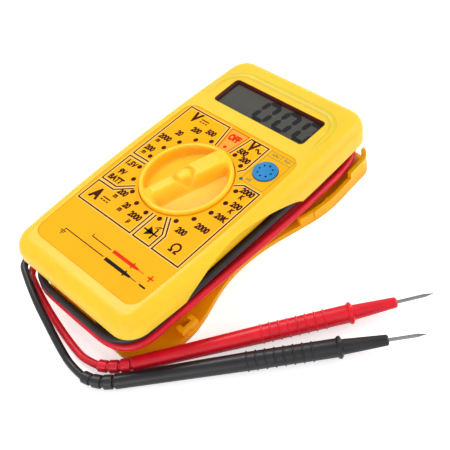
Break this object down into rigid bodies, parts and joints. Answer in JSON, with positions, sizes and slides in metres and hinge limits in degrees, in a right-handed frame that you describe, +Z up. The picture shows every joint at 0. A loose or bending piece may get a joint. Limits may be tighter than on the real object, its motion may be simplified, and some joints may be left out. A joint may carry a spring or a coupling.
{
  "type": "digital multimeter",
  "caption": "Pocket digital multimeter with a rotary selector, a display and two captive test leads wound in a groove under the face.",
  "frame": {"origin": "bottom centre of the meter's body, without its leads and probes, on the surface it lies on", "axes": "+X across the meter, +Y along it towards the display, +Z up out of the face"},
  "size_m": [0.1067, 0.1144, 0.0245],
  "materials": {
    "case_yellow": "satin moulded ABS",
    "housing_yellow": "satin moulded ABS",
    "label_amber": "printed film",
    "knob_yellow": "satin moulded ABS",
    "socket_blue": "glossy moulded nylon",
    "display_glass": "dark grey reflective display glass",
    "black_plastic": "matte",
    "grey_rubber": "soft silicone",
    "silver_film": "matte film",
    "board_green": "solder resist",
    "ceramic_tan": "coated",
    "clear_glass": "clear",
    "nickel": "nickel plated",
    "battery_skin": "printed film over steel can",
    "steel": "zinc plated",
    "brass": "sprung brass",
    "black_pvc": "satin PVC",
    "red_pvc": "satin PVC",
    "black_handle": "satin PVC",
    "red_handle": "satin PVC",
    "needle_steel": "polished steel"
  },
  "bodies": {
    "case": {"base_plate": "housing_yellow", "battery": "battery_skin", "battery_contact_minus": "nickel", "battery_contact_plus": "nickel", "battery_cover": "housing_yellow", "battery_cover_screw": "steel", "black_gland": "black_pvc", "black_lead": "black_pvc", "black_probe_boot": "black_pvc", "black_probe_handle": "black_handle", "black_probe_needle": "needle_steel", "board_screws": "steel", "capacitors": "ceramic_tan", "case_screws": "steel", "chip_blob": "black_plastic", "circuit_board": "board_green", "face_label": "label_amber", "front_case": "case_yellow", "fuse_caps": "nickel", "fuse_clips": "nickel", "fuse_tube": "clear_glass", "lcd_frame": "black_plastic", "lcd_glass": "display_glass", "lcd_reflector": "silver_film", "lead_tails": "black_pvc", "rear_case": "housing_yellow", "red_gland": "red_pvc", "red_lead": "red_pvc", "red_probe_boot": "red_pvc", "red_probe_handle": "red_handle", "red_probe_needle": "needle_steel", "resistors": "ceramic_tan", "transistor_socket": "socket_blue", "trimmer": "socket_blue", "zebra_strips": "grey_rubber"},
    "selector": {"rotary_knob": "knob_yellow", "contact_wipers": "brass", "detent_balls": "steel", "detent_springs": "steel"}
  },
  "joints": [
    {"name": "selector_turn", "type": "hinge", "parent": "case", "child": "selector", "pos_m": [0, -0.00225, 0.02], "axis": [0, 0, 1], "continuous": true}
  ]
}
